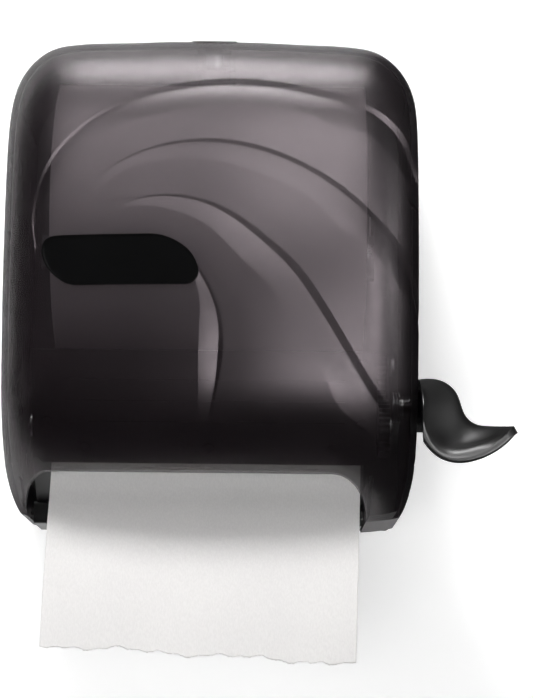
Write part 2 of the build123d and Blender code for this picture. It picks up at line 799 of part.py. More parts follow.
# Lever gears: the sector on the lever shaft drives the pinion on the feed roller
gear_distance = math.hypot(feed_y - pivot_y, nip_height - pivot_z)
gear_module = 2 * gear_distance / (pinion_teeth + sector_teeth)
mesh_angle = math.atan2(nip_height - pivot_z, feed_y - pivot_y)
tip_height = 0.8 * gear_module
root_depth = 1.15 * gear_module


def tooth_points(y, z, teeth, angle):
    """Four corners of one straight-flanked tooth about the gear's centre."""
    pitch_radius = gear_module * teeth / 2
    half_pitch = (math.pi * gear_module / 2 - gear_backlash) / 2
    slope = math.tan(math.radians(20))
    root = (pitch_radius - root_depth, half_pitch + root_depth * slope)
    tip = (pitch_radius + tip_height, half_pitch - tip_height * slope)
    corners = []
    for (radius, width), side in ((root, -1), (tip, -1), (tip, 1), (root, 1)):
        turn = angle + side * width / radius
        corners.append((y + radius * math.cos(turn), z + radius * math.sin(turn)))
    return corners


def make_drive_pinion():
    step = 2 * math.pi / pinion_teeth
    outline = []
    for i in range(pinion_teeth):
        outline += tooth_points(feed_y, nip_height, pinion_teeth, mesh_angle + math.pi + (i + 0.5) * step)
    gear = plate_x(outline, pinion_x0, pinion_x1)
    return gear - rod_x(clutch_radius + 0.02, pinion_x0 - 9, pinion_x1 + 9, feed_y, nip_height)


def make_one_way_clutch():
    return tube_x(clutch_radius, feed_shaft_radius + 0.02, pinion_x0, pinion_x1, feed_y, nip_height)


def make_sector_gear():
    step = 2 * math.pi / sector_teeth
    stroke = math.radians(lever_stroke)
    before = math.ceil(stroke / step) + 2
    outline = [(pivot_y, pivot_z)]
    for i in range(-before, 3):
        outline += tooth_points(pivot_y, pivot_z, sector_teeth, mesh_angle + i * step)
    x0 = pinion_x0 + 0.5
    x1 = x0 + gear_width
    gear = plate_x(outline, x0, x1) + rod_x(lever_shaft_radius + 7, x0, x1, pivot_y, pivot_z)
    rim = gear_module * sector_teeth / 2 - root_depth - 7
    window = []
    for radius, order in ((lever_shaft_radius + 14, 1), (rim, -1)):
        for k in (0.12, 0.4, 0.7, 0.9)[::order]:
            turn = mesh_angle - before * step + k * (before + 2) * step
            window.append((pivot_y + radius * math.cos(turn), pivot_z + radius * math.sin(turn)))
    gear = gear - plate_x(window, x0 - 1, x1 + 1)
    return gear - rod_x(lever_shaft_radius + 0.02, x0 - 9, x1 + 9, pivot_y, pivot_z)


case_x0 = pinion_x1 + 2.5
case_x1 = case_x0 + 2.5


def make_gear_case():
    outline = [(-96, chassis_top - 4), (-96, pivot_z - 14), (pivot_y, pivot_z - 24), (-24, pivot_z - 24),
               (-24, chassis_top - 2), (pivot_y, chassis_top + 14), (-76, chassis_top + 14)]
    case = plate_x(outline, case_x0, case_x1)
    for y, z in case_posts:
        case = case + rod_x(4.5, right_outer, case_x0, y, z)
        case = case - rod_x(screw_radius + running_gap, right_outer - 1, case_x1 + 1, y, z)
    return case - rod_x(lever_bush_radius + running_gap, case_x0 - 1, case_x1 + 1, pivot_y, pivot_z)


def make_gear_case_screws():
    screws = []
    for y, z in case_posts:
        head = rod_x(screw_head_radius, case_x1, case_x1 + screw_head_height, y, z)
        drive = rod_x(screw_head_radius * 0.45, case_x1 + 1.2, case_x1 + 5, y, z)
        screws.append(head + rod_x(screw_radius, chassis_right, case_x1, y, z) - drive)
    return Compound(children=screws)


def make_lever_bushes():
    bushes = []
    for x0, x1 in ((chassis_right, right_outer + 1), (case_x0 - 1, case_x1)):
        bushes.append(tube_x(lever_bush_radius, lever_shaft_radius + running_gap, x0, x1, pivot_y, pivot_z))
    return Compound(children=bushes)


# Lever
lever_x = half + lever_gap
# Lever stations: distance in front of the pivot, the sheet's thickness at its edges and in the middle,
# and its upper line as distances from the cover's side and heights from the pivot.
lever_stations = [
    (2, 5, 5, [(-1, 17), (5, 17), (9, 16), (11.5, 13), (12.5, 8), (12.8, 2), (12.8, -4), (12.8, -12)]),
    (25, 5, 5, [(-1, 14.5), (5, 14.5), (9.5, 13.2), (12.3, 9.5), (13.5, 4.5), (14, -1), (14.2, -7), (14.4, -13)]),
    (46, 5, 5, [(-1, 11), (6, 11), (11, 9), (14.5, 5), (16, 0), (17, -5), (18, -10), (19.5, -15)]),
    (68, 5, 5, [(-1, 8.5), (8, 8.5), (15, 6), (20, 0), (22.5, -7), (26, -13.5), (31, -18), (38, -20.5)]),
    (90, 5, 5, [(-1, 6), (9.5, 6), (18, 2.5), (25, -6), (28.5, -16), (34, -22), (42, -24.3), (51, -24)]),
    (106, 5, 6, [(-1, 1), (6.5, -2), (13.5, -10), (19, -20), (25, -29), (34, -32), (44, -30), (56.5, -26)]),
    (119, 5, 7, [(-0.5, -6), (3.5, -15), (8, -26), (13.5, -36), (21.5, -40.2), (32, -39.5), (43.5, -35), (57.5, -27.5)]),
    (132, 4.5, 7.5, [(-1, -20), (1, -33), (5.5, -42.5), (13, -48.5), (22, -49.8), (33.5, -47.3), (44, -41), (51, -34.5)]),
]
lever_points = [i / 9 for i in range(10)]


def lever_section(ahead, edge, middle, points):
    """A sheet below and inside the given line, at one distance in front of the pivot."""
    guide = Spline(*[(lever_x + x, pivot_y - ahead, pivot_z + z) for x, z in points])
    line = [guide @ k for k in lever_points]
    inner = []
    for k, point in zip(lever_points, line):
        along = guide % k
        thickness = edge + (middle - edge) * math.sin(math.pi * k)
        inner.append(point + Vector(along.Z, 0, -along.X) * thickness)
    return Wire([Spline(*line), Line(line[-1], inner[-1]), Spline(*inner[::-1]), Line(inner[0], line[0])])


def make_lever():
    blade = Solid.make_loft([lever_section(*station) for station in lever_stations])
    hub = rod_x(lever_hub_radius, lever_x, lever_x + lever_hub_width, pivot_y, pivot_z)
    hub = fillet(hub.edges().sort_by(Axis.X)[-1], 2.5)
    inner = half + 2 * clear_gap
    lever = blade - block(0, inner, front - 60, 0, low - 60, top) + hub
    rim = [edge for edge in lever.faces().sort_by(Axis.Y)[0].edges() if (edge @ 0.5).X > inner + running_gap]
    lever = fillet(rim, lever_rim_round)
    bore = rod_x(lever_shaft_radius + 0.02, lever_x - 1, lever_x + lever_hub_width - 3, pivot_y, pivot_z)
    seat = lever_x + lever_hub_width
    screw = rod_x(screw_radius + running_gap, lever_x, seat + 1, pivot_y, pivot_z)
    screw += rod_x(screw_head_radius + clear_gap, seat, seat + 9, pivot_y, pivot_z)
    return lever - bore - screw


def make_lever_shaft():
    end = lever_x + lever_hub_width - 3
    shaft = rod_x(lever_shaft_radius, chassis_right - 1, end, pivot_y, pivot_z)
    return shaft - rod_x(screw_radius + running_gap, end - 10, end + 1, pivot_y, pivot_z)


def make_lever_screw():
    seat = lever_x + lever_hub_width
    head = rod_x(screw_head_radius, seat, seat + screw_head_height, pivot_y, pivot_z)
    drive = rod_x(screw_head_radius * 0.45, seat + 1.2, seat + 5, pivot_y, pivot_z)
    return head + rod_x(screw_radius, seat - 11, seat, pivot_y, pivot_z) - drive


def make_lever_spring():
    wire = 1.4
    place = Pos(case_x1 + 0.2 + wire / 2, pivot_y, pivot_z) * Rot(0, 90, 0)
    return place * coil(lever_bush_radius + 1.8, wire, 3, wire + 0.6)


# Roll arms, hubs and the towel
def make_hub(x_end, direction):
    """A tapered plug, flange and riveted stub; x_end is the roll's end, direction points into the roll."""
    seat = x_end - direction * clear_gap
    back = seat - direction * hub_flange
    arm_back = back - direction * arm_thickness
    base_radius = core_radius - core_wall - 0.5
    cone = Cone(base_radius, hub_tip_radius, hub_length)
    cone = Pos(seat + direction * hub_length / 2, roll_y, roll_height) * Rot(0, 90 * direction, 0) * cone
    flange = rod_x(hub_flange_radius, min(seat, back), max(seat, back), roll_y, roll_height)
    stub = rod_x(4, min(back, arm_back), max(back, arm_back), roll_y, roll_height)
    head_end = arm_back - direction * 1.5
    head = rod_x(6.5, min(arm_back, head_end), max(arm_back, head_end), roll_y, roll_height)
    return cone + flange + stub + head


def arm_blade(x0, x1, y_end):
    blade = block(x0, x1, roll_y, y_end, arm_low, arm_high)
    blade = blade + rod_x(arm_width / 2, x0, x1, roll_y, roll_height)
    return blade - rod_x(4 + running_gap, x0 - 1, x1 + 1, roll_y, roll_height)


def make_roll_arm_left():
    x1 = arm_left_x
    x0 = x1 - arm_thickness
    arm = arm_blade(x0, x1, plate_front)
    arm = arm + block(foot_left, x0, plate_front - chassis_thickness, plate_front, arm_low, arm_high)
    for x, z in foot_screws:
        arm = arm - rod_y(screw_radius + running_gap, plate_front - 9, plate_front + 1, x, z)
    return arm


spring_low = roll_height - arm_spring_room / 2
spring_high = roll_height + arm_spring_room / 2


def make_roll_arm_right():
    x0 = arm_right_x
    x1 = x0 + arm_thickness
    arm = arm_blade(x0, x1, arm_pin_y - 4)
    arm = arm + block(x0, arm_pin_x, arm_pin_y - 4.5, arm_pin_y - 2, arm_low, arm_high)
    arm = arm + rod_z(4.7, arm_low, arm_high, arm_pin_x, arm_pin_y)
    arm = arm - block(x0 - 1, arm_pin_x + 9, arm_pin_y - 8, arm_pin_y + 9, spring_low, spring_high)
    return arm - rod_z(arm_pin_radius + running_gap, arm_low - 1, arm_high + 1, arm_pin_x, arm_pin_y)


def make_arm_pin():
    pin = rod_z(arm_pin_radius, arm_low - 7, arm_high + 7, arm_pin_x, arm_pin_y)
    return pin + rod_z(arm_pin_radius + 1.5, arm_high + 7, arm_high + 8.5, arm_pin_x, arm_pin_y)


def make_arm_spring():
    pitch = (arm_spring_room - spring_wire - 0.4) / 4
    start = spring_low + 0.2 + spring_wire / 2
    return Pos(arm_pin_x, arm_pin_y, start) * coil(arm_pin_radius + 1.3, spring_wire, 4, pitch)


def make_towel_roll():
    return tube_x(roll_radius, core_radius + 0.02, roll_left, roll_right, roll_y, roll_height)


def make_roll_core():
    return tube_x(core_radius, core_radius - core_wall, roll_left, roll_right, roll_y, roll_height)


def ribbon(path, x0, x1):
    """A sheet of towel thickness along a line of (Y, Z) points, from x0 to x1."""
    near = []
    far = []
    for i, (y, z) in enumerate(path):
        y0, z0 = path[max(i - 1, 0)]
        y1, z1 = path[min(i + 1, len(path) - 1)]
        length = math.hypot(y1 - y0, z1 - z0)
        shift = Vector(0, -(z1 - z0) / length, (y1 - y0) / length) * (towel_thickness / 2)
        near.append(Vector(x0, y, z) + shift)
        far.append(Vector(x0, y, z) - shift)
    edges = [Spline(*near), Line(near[-1], far[-1]), Spline(*far[::-1]), Line(far[0], near[0])]
    return extrude(make_face(Wire(edges)), amount=x1 - x0, dir=(1, 0, 0))


def make_towel_web():
    """The towel from the underside of the roll, over the guide rod, to the way down to the nip."""
    offset = clear_gap + towel_thickness / 2
    on_roll = roll_radius + offset
    on_rod = guide_rod_radius + offset
    dy = rod_y_place - roll_y
    dz = guide_rod_height - roll_height
    lean = math.atan2(dz, dy) + math.acos((on_roll + on_rod) / math.hypot(dy, dz))
    start = (roll_y + on_roll * math.cos(lean), roll_height + on_roll * math.sin(lean))
    bend = lean + math.pi
    touch = (rod_y_place + on_rod * math.cos(bend), guide_rod_height + on_rod * math.sin(bend))
    path = [tuple(a + (b - a) * k for a, b in zip(start, touch)) for k in (0, 0.3, 0.6, 0.85)]
    turn_end = 3 * math.pi if bend > math.pi * 2 else math.pi
    for i in range(7):
        angle = bend + (turn_end - bend) * i / 6
        path.append((rod_y_place + on_rod * math.cos(angle), guide_rod_height + on_rod * math.sin(angle)))
    return ribbon(path, roll_left, roll_right)


def make_towel_tail():
    """The hanging end: straight through the nip, then out under the lip, torn along its foot."""
    start = guide_rod_height - 0.4
    falls = [(0, 0), (0, -20), (0, -40), (0.5, -56), (3.5, -74), (11, -96), (19, -124), (23.5, -158), (23.5, -200)]
    path = [(paper_y - out, start + fall) for out, fall in falls]
    sheet = ribbon(path, roll_left - 20, roll_right + 20)
    left = roll_left + 0.5
    right = roll_right + 0.5
    foot_left_end = (left - tail_skew, start - tail_fall + 15)
    foot_right_end = (right - tail_skew, start - tail_fall + 4.5)
    torn = []
    steps = 40
    for i in range(steps + 1):
        k = i / steps
        ragged = 1.1 * math.sin(17 * k) + 0.8 * math.sin(41 * k + 1) + 0.6 * math.sin(97 * k)
        x = foot_left_end[0] + (foot_right_end[0] - foot_left_end[0]) * k
        torn.append((x, foot_left_end[1] + (foot_right_end[1] - foot_left_end[1]) * k + ragged))
    outline = [(left, start + 1)] + torn + [(right, start + 1)]
    return sheet & plate_y(outline, paper_y - 40, paper_y + 20)


pieces = {
    "cover": make_cover,
    "badge": make_badge,
    "lock_escutcheon": make_escutcheon,
    "lock_nut": make_lock_nut,
    "lock_barrel": make_lock_barrel,
    "lock_cam": make_lock_cam,
    "latch_bolt": make_latch_bolt,
    "latch_guides": make_latch_guides,
    "latch_strike": make_latch_strike,
    "back_plate": make_back_plate,
    "base_screws": make_base_screws,
    "cover_hinge_pins": make_hinge_pins,
    "left_side_plate": lambda: make_side_plate(left_outer, -chassis_left, -chassis_left, tab_left, False),
    "right_side_plate": lambda: make_side_plate(chassis_right, right_outer, chassis_right, tab_right, True),
    "front_panel": make_front_panel,
    "panel_screws": make_panel_screws,
    "tear_bar": make_tear_bar,
    "tear_bar_screws": make_tear_screws,
    "rear_guide": make_rear_guide,
    "guide_rod": lambda: cross_rod(rod_y_place, guide_rod_height),
    "tie_rod": lambda: cross_rod(tie_y, tie_z),
    "feed_roller": make_feed_roller,
    "feed_grips": lambda: make_rings(feed_radius, feed_core_radius + 0.02, grip_length, feed_y),
    "feed_bushes": make_feed_bushes,
    "feed_clips": make_feed_clips,
    "drive_pinion": make_drive_pinion,
    "one_way_clutch": make_one_way_clutch,
    "pressure_roller": make_press_roller,
    "pressure_tyres": lambda: make_rings(press_radius, press_core_radius + 0.02, grip_length, press_y),
    "pressure_blocks": make_press_blocks,
    "pressure_springs": make_press_springs,
    "sector_gear": make_sector_gear,
    "gear_case": make_gear_case,
    "gear_case_screws": make_gear_case_screws,
    "lever_bushes": make_lever_bushes,
    "lever": make_lever,
    "lever_shaft": make_lever_shaft,
    "lever_screw": make_lever_screw,
    "lever_spring": make_lever_spring,
    "roll_arm_left": make_roll_arm_left,
    "roll_hub_left": lambda: make_hub(roll_left, 1),
    "roll_arm_right": make_roll_arm_right,
    "roll_hub_right": lambda: make_hub(roll_right, -1),
    "arm_pin": make_arm_pin,
    "arm_spring": make_arm_spring,
    "towel_roll": make_towel_roll,
    "roll_core": make_roll_core,
    "towel_web": make_towel_web,
    "towel_tail": make_towel_tail,
}
for name, make in pieces.items():
    export_step(make(), f"parts/{name}.step")
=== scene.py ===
import json
import math
from bisect import bisect_left

import bmesh
import bpy
from mathutils import Matrix, Vector, noise


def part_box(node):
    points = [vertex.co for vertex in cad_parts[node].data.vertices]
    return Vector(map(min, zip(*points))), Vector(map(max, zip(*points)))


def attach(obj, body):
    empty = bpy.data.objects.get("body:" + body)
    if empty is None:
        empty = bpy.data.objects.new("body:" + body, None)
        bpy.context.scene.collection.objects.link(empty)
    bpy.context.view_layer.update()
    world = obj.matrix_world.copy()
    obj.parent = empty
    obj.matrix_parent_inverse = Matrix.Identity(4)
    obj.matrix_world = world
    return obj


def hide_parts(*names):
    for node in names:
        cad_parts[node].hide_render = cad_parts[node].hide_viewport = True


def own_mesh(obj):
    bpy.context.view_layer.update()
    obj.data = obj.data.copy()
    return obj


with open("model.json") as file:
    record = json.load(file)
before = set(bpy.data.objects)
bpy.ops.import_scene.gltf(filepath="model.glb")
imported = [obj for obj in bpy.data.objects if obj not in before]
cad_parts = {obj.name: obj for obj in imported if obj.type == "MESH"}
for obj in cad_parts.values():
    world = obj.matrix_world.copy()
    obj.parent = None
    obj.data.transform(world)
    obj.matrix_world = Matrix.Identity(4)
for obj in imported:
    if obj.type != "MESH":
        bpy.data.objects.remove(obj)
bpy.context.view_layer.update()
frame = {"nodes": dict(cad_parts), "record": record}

# Lever roll towel dispenser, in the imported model's frame: X along the wall, Y into the wall, Z up.
# Blender works in metres; the towel's own sizes are written in millimetres.
scene = bpy.context.scene
MM = 0.001

# Camera, at the photograph's place: below the part's middle, a little to the right, looking slightly up
IMAGE_HEIGHT = 698
FOCAL_PIXELS = 2284
SENSOR_MM = 36
CAMERA_PLACE = (0.0365, -1.616, -0.295)
CAMERA_PITCH = math.radians(9.3)
CAMERA_ROLL = math.radians(0.6)
camera_data = bpy.data.cameras.new("camera")
camera_data.sensor_width = SENSOR_MM
camera_data.lens = FOCAL_PIXELS * SENSOR_MM / IMAGE_HEIGHT
camera = bpy.data.objects.new("camera", camera_data)
scene.collection.objects.link(camera)
camera.matrix_world = (
    Matrix.Translation(CAMERA_PLACE)
    @ Matrix.Rotation(math.pi / 2 + CAMERA_PITCH, 4, "X")
    @ Matrix.Rotation(CAMERA_ROLL, 4, "Z")
)
scene.camera = camera


# Materials
class Shader:
    """A node material with its Principled shader and short ways to add noise, ramps and bump."""

    def __init__(self, name):
        self.material = bpy.data.materials.new(name)
        self.material.use_nodes = True
        self.nodes = self.material.node_tree.nodes
        self.links = self.material.node_tree.links
        self.surface = self.nodes["Principled BSDF"]
        self.place = self.nodes.new("ShaderNodeTexCoord").outputs["Object"]

    def set(self, **values):
        """Sets constants on the shader's sockets."""
        for name, value in values.items():
            self.surface.inputs[name.replace("_", " ")].default_value = value

    def link(self, **outputs):
        """Feeds the shader's sockets from other nodes."""
        for name, output in outputs.items():
            self.links.new(output, self.surface.inputs[name.replace("_", " ")])

    def texture(self, kind, place=None, **values):
        """A texture node of the given kind, at the object's own place unless another is given."""
        node = self.nodes.new(kind)
        for name, value in values.items():
            node.inputs[name].default_value = value
        self.links.new(place or self.place, node.inputs["Vector"])
        return node

    def stretched(self, scale, turn=(0, 0, 0)):
        return self.texture("ShaderNodeMapping", Scale=scale, Rotation=turn).outputs["Vector"]

    def noise(self, scale, detail=3.0, rough=0.5, place=None):
        node = self.texture("ShaderNodeTexNoise", place, Scale=scale, Detail=detail, Roughness=rough)
        return node.outputs["Fac"]

    def voronoi(self, scale):
        return self.texture("ShaderNodeTexVoronoi", Scale=scale).outputs["Distance"]

    def rings(self, scale, distortion):
        node = self.texture("ShaderNodeTexWave", Scale=scale, Distortion=distortion)
        node.wave_type = "RINGS"
        node.rings_direction = "X"
        return node.outputs["Fac"]

    def ramp(self, fac, low, high):
        """A colour between two stops, each a place on the ramp and a colour."""
        node = self.nodes.new("ShaderNodeValToRGB")
        for element, (position, colour) in zip(node.color_ramp.elements, (low, high)):
            element.position = position
            element.color = (*colour, 1)
        self.links.new(fac, node.inputs["Fac"])
        return node.outputs["Color"]

    def spread(self, fac, low, high):
        """Stretches 0 to 1 over low to high."""
        node = self.nodes.new("ShaderNodeMapRange")
        node.inputs["To Min"].default_value = low
        node.inputs["To Max"].default_value = high
        self.links.new(fac, node.inputs["Value"])
        return node.outputs["Result"]

    def add(self, first, second, share):
        """The first value plus a share of the second."""
        node = self.nodes.new("ShaderNodeMath")
        node.operation = "MULTIPLY_ADD"
        self.links.new(second, node.inputs[0])
        node.inputs[1].default_value = share
        self.links.new(first, node.inputs[2])
        return node.outputs["Value"]

    def bump(self, height, strength, distance):
        node = self.nodes.new("ShaderNodeBump")
        node.inputs["Strength"].default_value = strength
        node.inputs["Distance"].default_value = distance
        self.links.new(height, node.inputs["Height"])
        self.links.new(node.outputs["Normal"], self.surface.inputs["Normal"])


def tint(colour, factor):
    return tuple(min(1.0, c * factor) for c in colour)


def moulded(name, colour, rough, grain=900, depth=0.00004):
    """Moulded plastic: fine spark-eroded grain, faint cloudiness and uneven gloss."""
    s = Shader(name)
    cloud = s.noise(scale=14, detail=4)
    s.link(Base_Color=s.ramp(cloud, (0.3, tint(colour, 0.8)), (0.7, tint(colour, 1.2))))
    s.link(Roughness=s.spread(s.noise(scale=60), *rough))
    s.bump(s.noise(grain, detail=2), strength=0.25, distance=depth)
    return s


def smoked():
    """The cover's see-through plastic: satin, with a slightly purple gloss."""
    s = moulded("smoked", (0.011, 0.0078, 0.0095), rough=(0.32, 0.38), grain=700, depth=0.000006)
    s.set(Alpha=0.54, IOR=1.49, Specular_Tint=(1, 0.87, 0.93, 1))
    return s.material


def steel(name, colour, rough):
    """Drawn steel: fine lines along X and uneven gloss."""
    s = Shader(name)
    lines = s.noise(scale=60, detail=4, rough=0.6, place=s.stretched((4, 60, 60)))
    s.link(Base_Color=s.ramp(lines, (0.25, tint(colour, 0.85)), (0.75, tint(colour, 1.1))))
    s.link(Roughness=s.spread(lines, *rough))
    s.set(Metallic=1.0)
    s.bump(lines, strength=0.15, distance=0.00003)
    return s.material


def rubber():
    s = Shader("rubber")
    cloud = s.noise(scale=40, detail=4)
    s.link(Base_Color=s.ramp(cloud, (0.3, (0.022, 0.022, 0.023)), (0.7, (0.045, 0.044, 0.044))))
    s.link(Roughness=s.spread(s.noise(scale=200, detail=2), low=0.6, high=0.85))
    s.bump(s.voronoi(scale=600), strength=0.3, distance=0.0001)
    return s.material


def paper(name, colour, bump_depth, ring_scale=0):
    """Creped towel: fine slanted dashes, fibre speckle, slight cloudiness, and rings on the wound ends."""
    s = Shader(name)
    lean = (0, math.radians(-24), 0)
    dashes = s.noise(scale=1150, detail=1, rough=0.4, place=s.stretched((1, 1, 0.42), lean))
    fibre = s.noise(scale=1500, detail=2)
    cloud = s.noise(scale=12)
    tone = s.add(dashes, cloud, share=0.3)
    s.link(Base_Color=s.ramp(tone, (0.45, tint(colour, 0.965)), (0.85, tint(colour, 1.015))))
    height = s.add(dashes, fibre, share=0.3)
    if ring_scale:
        height = s.add(height, s.rings(ring_scale, distortion=0.6), share=0.6)
    s.link(Roughness=s.spread(cloud, low=0.85, high=0.95))
    s.set(Specular_IOR_Level=0.2, Sheen_Weight=0.1)
    s.bump(height, strength=0.45, distance=bump_depth)
    return s.material


def card():
    s = Shader("card")
    fibre = s.noise(scale=300, detail=4, rough=0.6, place=s.stretched((0.3, 1, 1)))
    s.link(Base_Color=s.ramp(fibre, (0.3, (0.3, 0.2, 0.12)), (0.7, (0.45, 0.33, 0.22))))
    s.link(Roughness=s.spread(fibre, low=0.75, high=0.9))
    s.bump(fibre, strength=0.3, distance=0.0002)
    return s.material


finishes = {
    "smoked": smoked(),
    "gloss_black": moulded("gloss_black", (0.002, 0.002, 0.0022), (0.08, 0.12), 300, 0.00001).material,
    "black": moulded("black", (0.006, 0.0058, 0.006), (0.33, 0.44)).material,
    "grey": moulded("grey", (0.12, 0.12, 0.125), (0.4, 0.5)).material,
    "white": moulded("white", (0.75, 0.74, 0.71), (0.35, 0.45)).material,
    "steel": steel("steel", (0.55, 0.55, 0.56), (0.28, 0.42)),
    "rubber": rubber(),
    "towel": paper("towel", (0.84, 0.825, 0.815), bump_depth=0.00014),
    "card": card(),
}
# The lock's bright slot is plain steel too
finishes["chrome"] = finishes["steel"]
for entry in frame["record"]["subparts"]:
    node = frame["nodes"][entry["node"]]
    node.data.materials.clear()
    node.data.materials.append(finishes[entry["material_slot"]])

# Inner pieces that would show bright through the cover are blackened, or of dark acetal
blackened = steel("blackened", (0.02, 0.02, 0.021), (0.4, 0.55))
dark_acetal = moulded("dark_acetal", (0.009, 0.0085, 0.009), (0.4, 0.5)).material
for name in ("panel_screws", "tear_bar_screws", "lock_nut", "lock_cam", "latch_bolt"):
    frame["nodes"][name].data.materials[0] = blackened
for name in ("sector_gear", "drive_pinion", "lever_bushes", "feed_bushes", "pressure_blocks"):
    frame["nodes"][name].data.materials[0] = dark_acetal

# The roll's paper is pinkish, as it shows through the smoked cover
roll_paper = paper("roll_paper", (0.84, 0.735, 0.775), bump_depth=0.0001, ring_scale=900)


# Mesh helpers
def add_piece(name, mesh_data, body, material, node):
    """Links a finished mesh as a piece that rides on a body, takes a slot's finish and stands for a node."""
    piece = bpy.data.objects.new(name, mesh_data)
    scene.collection.objects.link(piece)
    mesh_data.materials.append(material)
    for polygon in mesh_data.polygons:
        polygon.use_smooth = True
    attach(piece, body)
    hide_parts(node)
    return piece


def catmull_rom(a, b, c, d, t):
    """The value at share t between b and c on a smooth line through all four."""
    straight = 2 * b + (c - a) * t
    return 0.5 * (straight + (2 * a - 5 * b + 4 * c - d) * t * t + (3 * b - a - 3 * c + d) * t ** 3)


def smooth_path(points, count, steps=24):
    """Evenly spaced points on a smooth line through the given points of a side view, and its length."""
    fine = []
    for i in range(len(points) - 1):
        near = (points[max(i - 1, 0)], points[i], points[i + 1], points[min(i + 2, len(points) - 1)])
        for k in range(steps):
            fine.append(tuple(catmull_rom(*values, k / steps) for values in zip(*near)))
    fine.append(points[-1])
    lengths = [0.0]
    for a, b in zip(fine, fine[1:]):
        lengths.append(lengths[-1] + math.dist(a, b))
    even = []
    for i in range(count + 1):
        goal = lengths[-1] * i / count
        j = min(max(bisect_left(lengths, goal) - 1, 0), len(fine) - 2)
        share = (goal - lengths[j]) / (lengths[j + 1] - lengths[j])
        even.append(tuple(a + (b - a) * share for a, b in zip(fine[j], fine[j + 1])))
    return even, lengths[-1]


def closed_mesh(name, verts, faces, thickness=0):
    """A mesh with its faces turned outwards, thickened to a closed sheet where a thickness is given."""
    mesh_data = bpy.data.meshes.new(name)
    mesh_data.from_pydata(verts, [], faces)
    bm = bmesh.new()
    bm.from_mesh(mesh_data)
    bmesh.ops.recalc_face_normals(bm, faces=bm.faces)
    if thickness:
        bmesh.ops.solidify(bm, geom=bm.faces[:], thickness=thickness)
    bm.to_mesh(mesh_data)
    bm.free()
    return mesh_data


def sheet_mesh(name, rows, thickness):
    """A closed thin sheet from rows of points."""
    columns = len(rows[0])
    faces = []
    for r in range(len(rows) - 1):
        for c in range(columns - 1):
            a = r * columns + c
            faces.append((a, a + 1, a + columns + 1, a + columns))
    return closed_mesh(name, [point for row in rows for point in row], faces, thickness)


def box_mm(node):
    """A node's lowest and highest corners in millimetres."""
    return [[round(value / MM, 3) for value in corner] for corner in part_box(node)]


def round_bar(node):
    """The middle, as Y and Z, and the radius of a node that is round about X."""
    low, high = box_mm(node)
    return (low[1] + high[1]) / 2, (low[2] + high[2]) / 2, (high[2] - low[2]) / 2


# Towel: the roll, the web from the roll to the guide rod, and the hanging tail, all in millimetres
TOWEL_LEFT, TOWEL_RIGHT = (corner[0] for corner in box_mm("towel_roll"))
TOWEL_WIDTH = TOWEL_RIGHT - TOWEL_LEFT
PAPER = 0.3
ROLL_Y, ROLL_Z, ROLL_RADIUS = round_bar("towel_roll")
ROD_Y, ROD_Z, ROD_RADIUS = round_bar("guide_rod")

# The tail seen from the side, as Y and the drop below its top: straight down out of the nip, slanting
# forward below the tear bar, and down again
TAIL_TOP = box_mm("towel_tail")[1][2]
TAIL_LINE = [(-122, 0), (-122, 20), (-122, 40), (-122.5, 56), (-125.5, 74), (-133, 96), (-141, 124),
             (-145.5, 158), (-145.5, 200)]
TAIL_LINE_STEPS = 600
TAIL_COLUMNS, TAIL_ROWS = 260, 150
TAIL_SHIFT = 0.5
TAIL_SKEW = 4.5
TAIL_FOOT_LEFT, TAIL_FOOT_RIGHT = 177.0, 187.5
# The foot's broad waves, as size, turn across the width and start, and its nibbled edge, as size,
# bites across the width and place in the noise
TEAR_WAVES = [(1.1, 17, 0), (0.8, 41, 1), (0.6, 97, 0)]
TEAR_BITES = [(0.9, 160, 3.1), (0.5, 420, 7.7)]
# The tail sways where it hangs free, as size, turn across the width, turn for each mm down and start,
# and is slightly crumpled, with so many crumples across the width and for each mm down
FREE_FROM, FREE_RUN, FREE_POWER = 70, 120, 1.4
SWAYS = [(1.44, 7.5, 0, 0.6), (0.81, 15, 0.02, 0)]
CRUMPLE, CRUMPLES_ACROSS, CRUMPLES_DOWN, CRUMPLE_ONSET = 0.12, 60, 0.3, 4


def torn_edge(k):
    """How far the torn foot stands from its straight line at share k of the width."""
    waves = sum(size * math.sin(turn * k + start) for size, turn, start in TEAR_WAVES)
    bites = sum(size * noise.noise((k * count, place, 0)) for size, count, place in TEAR_BITES)
    return waves + bites


def tail_sway(k, depth):
    """How far the tail stands off its side view's line at share k of the width."""
    free = max(0.0, (depth - FREE_FROM) / FREE_RUN)
    sway = sum(size * math.sin(across * k + down * depth + start) for size, across, down, start in SWAYS)
    crumple = CRUMPLE * noise.noise((k * CRUMPLES_ACROSS, depth * CRUMPLES_DOWN, 0))
    return sway * free ** FREE_POWER + crumple * min(1, free * CRUMPLE_ONSET)


def make_tail():
    line, _ = smooth_path(TAIL_LINE, TAIL_LINE_STEPS)
    drops = [drop for _, drop in line]
    rows = []
    for r in range(TAIL_ROWS + 1):
        row = []
        for c in range(TAIL_COLUMNS + 1):
            k = c / TAIL_COLUMNS
            foot = TAIL_FOOT_LEFT + (TAIL_FOOT_RIGHT - TAIL_FOOT_LEFT) * k + torn_edge(k)
            depth = foot * r / TAIL_ROWS
            j = min(max(bisect_left(drops, depth) - 1, 0), TAIL_LINE_STEPS - 1)
            share = (depth - drops[j]) / (drops[j + 1] - drops[j])
            y = line[j][0] + (line[j + 1][0] - line[j][0]) * share + tail_sway(k, depth)
            x = TOWEL_LEFT + TAIL_SHIFT + TOWEL_WIDTH * k - TAIL_SKEW * depth / TAIL_FOOT_RIGHT
            row.append((x * MM, y * MM, (TAIL_TOP - depth) * MM))
        rows.append(row)
    piece = add_piece("tail_sheet", sheet_mesh("tail_sheet", rows, PAPER * MM), "towel_tail",
                      finishes["towel"], "towel_tail")
    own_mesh(piece)


